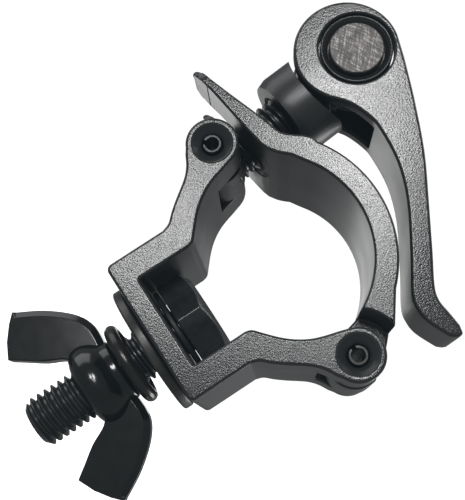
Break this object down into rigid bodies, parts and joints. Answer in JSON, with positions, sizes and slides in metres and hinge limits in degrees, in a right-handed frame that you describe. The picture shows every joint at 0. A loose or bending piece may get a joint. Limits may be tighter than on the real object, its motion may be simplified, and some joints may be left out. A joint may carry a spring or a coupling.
{
  "type": "pipe clamp",
  "caption": "Black quick-release pipe clamp for 32 to 35 mm tube: hinged jaw, cam lever on a swing bolt, and an M10 bolt with wing nut.",
  "frame": {"origin": "centre of the clamped tube, midway between the two hinge pins, at the middle of the clamp's width", "axes": "+X across the clamp towards the jaw hinge, +Y along the tube, +Z away from the mounting bolt"},
  "size_m": [0.0687, 0.031, 0.0994],
  "materials": {
    "casting": "black satin powder coat",
    "collar": "black anodised, fine turned",
    "black_steel": "black zinc",
    "pin_steel": "black oxide",
    "bare_steel": "machined",
    "bush": "smooth black",
    "washer_steel": "black zinc",
    "wing_coating": "gloss black coat"
  },
  "bodies": {
    "base": {"saddle_base": "casting", "swing_hinge_pin": "pin_steel", "jaw_hinge_pin": "pin_steel", "clamp_bolt": "black_steel", "bolt_head_washer": "washer_steel", "plate_washer": "washer_steel"},
    "upper_jaw": {"jaw": "casting"},
    "swing": {"swing_bolt": "black_steel", "cross_pin": "bare_steel"},
    "lever": {"cam_lever": "casting", "pivot_bush_front": "bush", "pivot_bush_rear": "bush"},
    "collar": {"thrust_collar": "collar"},
    "nut_carriage": {"cup_washer": "washer_steel"},
    "wing": {"wing_nut": "wing_coating"}
  },
  "joints": [
    {"name": "swing_bolt_hinge", "type": "hinge", "parent": "base", "child": "swing", "pos_m": [-0.0233, 0, 0], "axis": [0, -1, 0], "range_deg": [0, 130]},
    {"name": "lever_hinge", "type": "hinge", "parent": "swing", "child": "lever", "pos_m": [-0.02616, 0, 0.03484], "axis": [0, -1, 0], "range_deg": [0, 180]},
    {"name": "collar_slide", "type": "slide", "parent": "swing", "child": "collar", "axis": [-0.0819, 0, 0.9966], "range_m": [0, 0.002]},
    {"name": "jaw_hinge", "type": "hinge", "parent": "base", "child": "upper_jaw", "pos_m": [0.0233, 0, 0], "axis": [0, 1, 0], "range_deg": [0, 3]},
    {"name": "nut_travel", "type": "slide", "parent": "base", "child": "nut_carriage", "axis": [0, 0, 1], "range_m": [-0.0061, 0.0022]},
    {"name": "wing_nut_spin", "type": "hinge", "parent": "nut_carriage", "child": "wing", "pos_m": [0, 0, -0.041], "axis": [0, 0, 1], "range_deg": [-1440, 520]}
  ],
  "couplings": [
    {"joint": "collar_slide", "follows": "lever_hinge", "m_per_rad": 0.00063661},
    {"joint": "jaw_hinge", "follows": "lever_hinge", "ratio": 0.016667},
    {"joint": "nut_travel", "follows": "wing_nut_spin", "m_per_rad": 0.00023873}
  ]
}
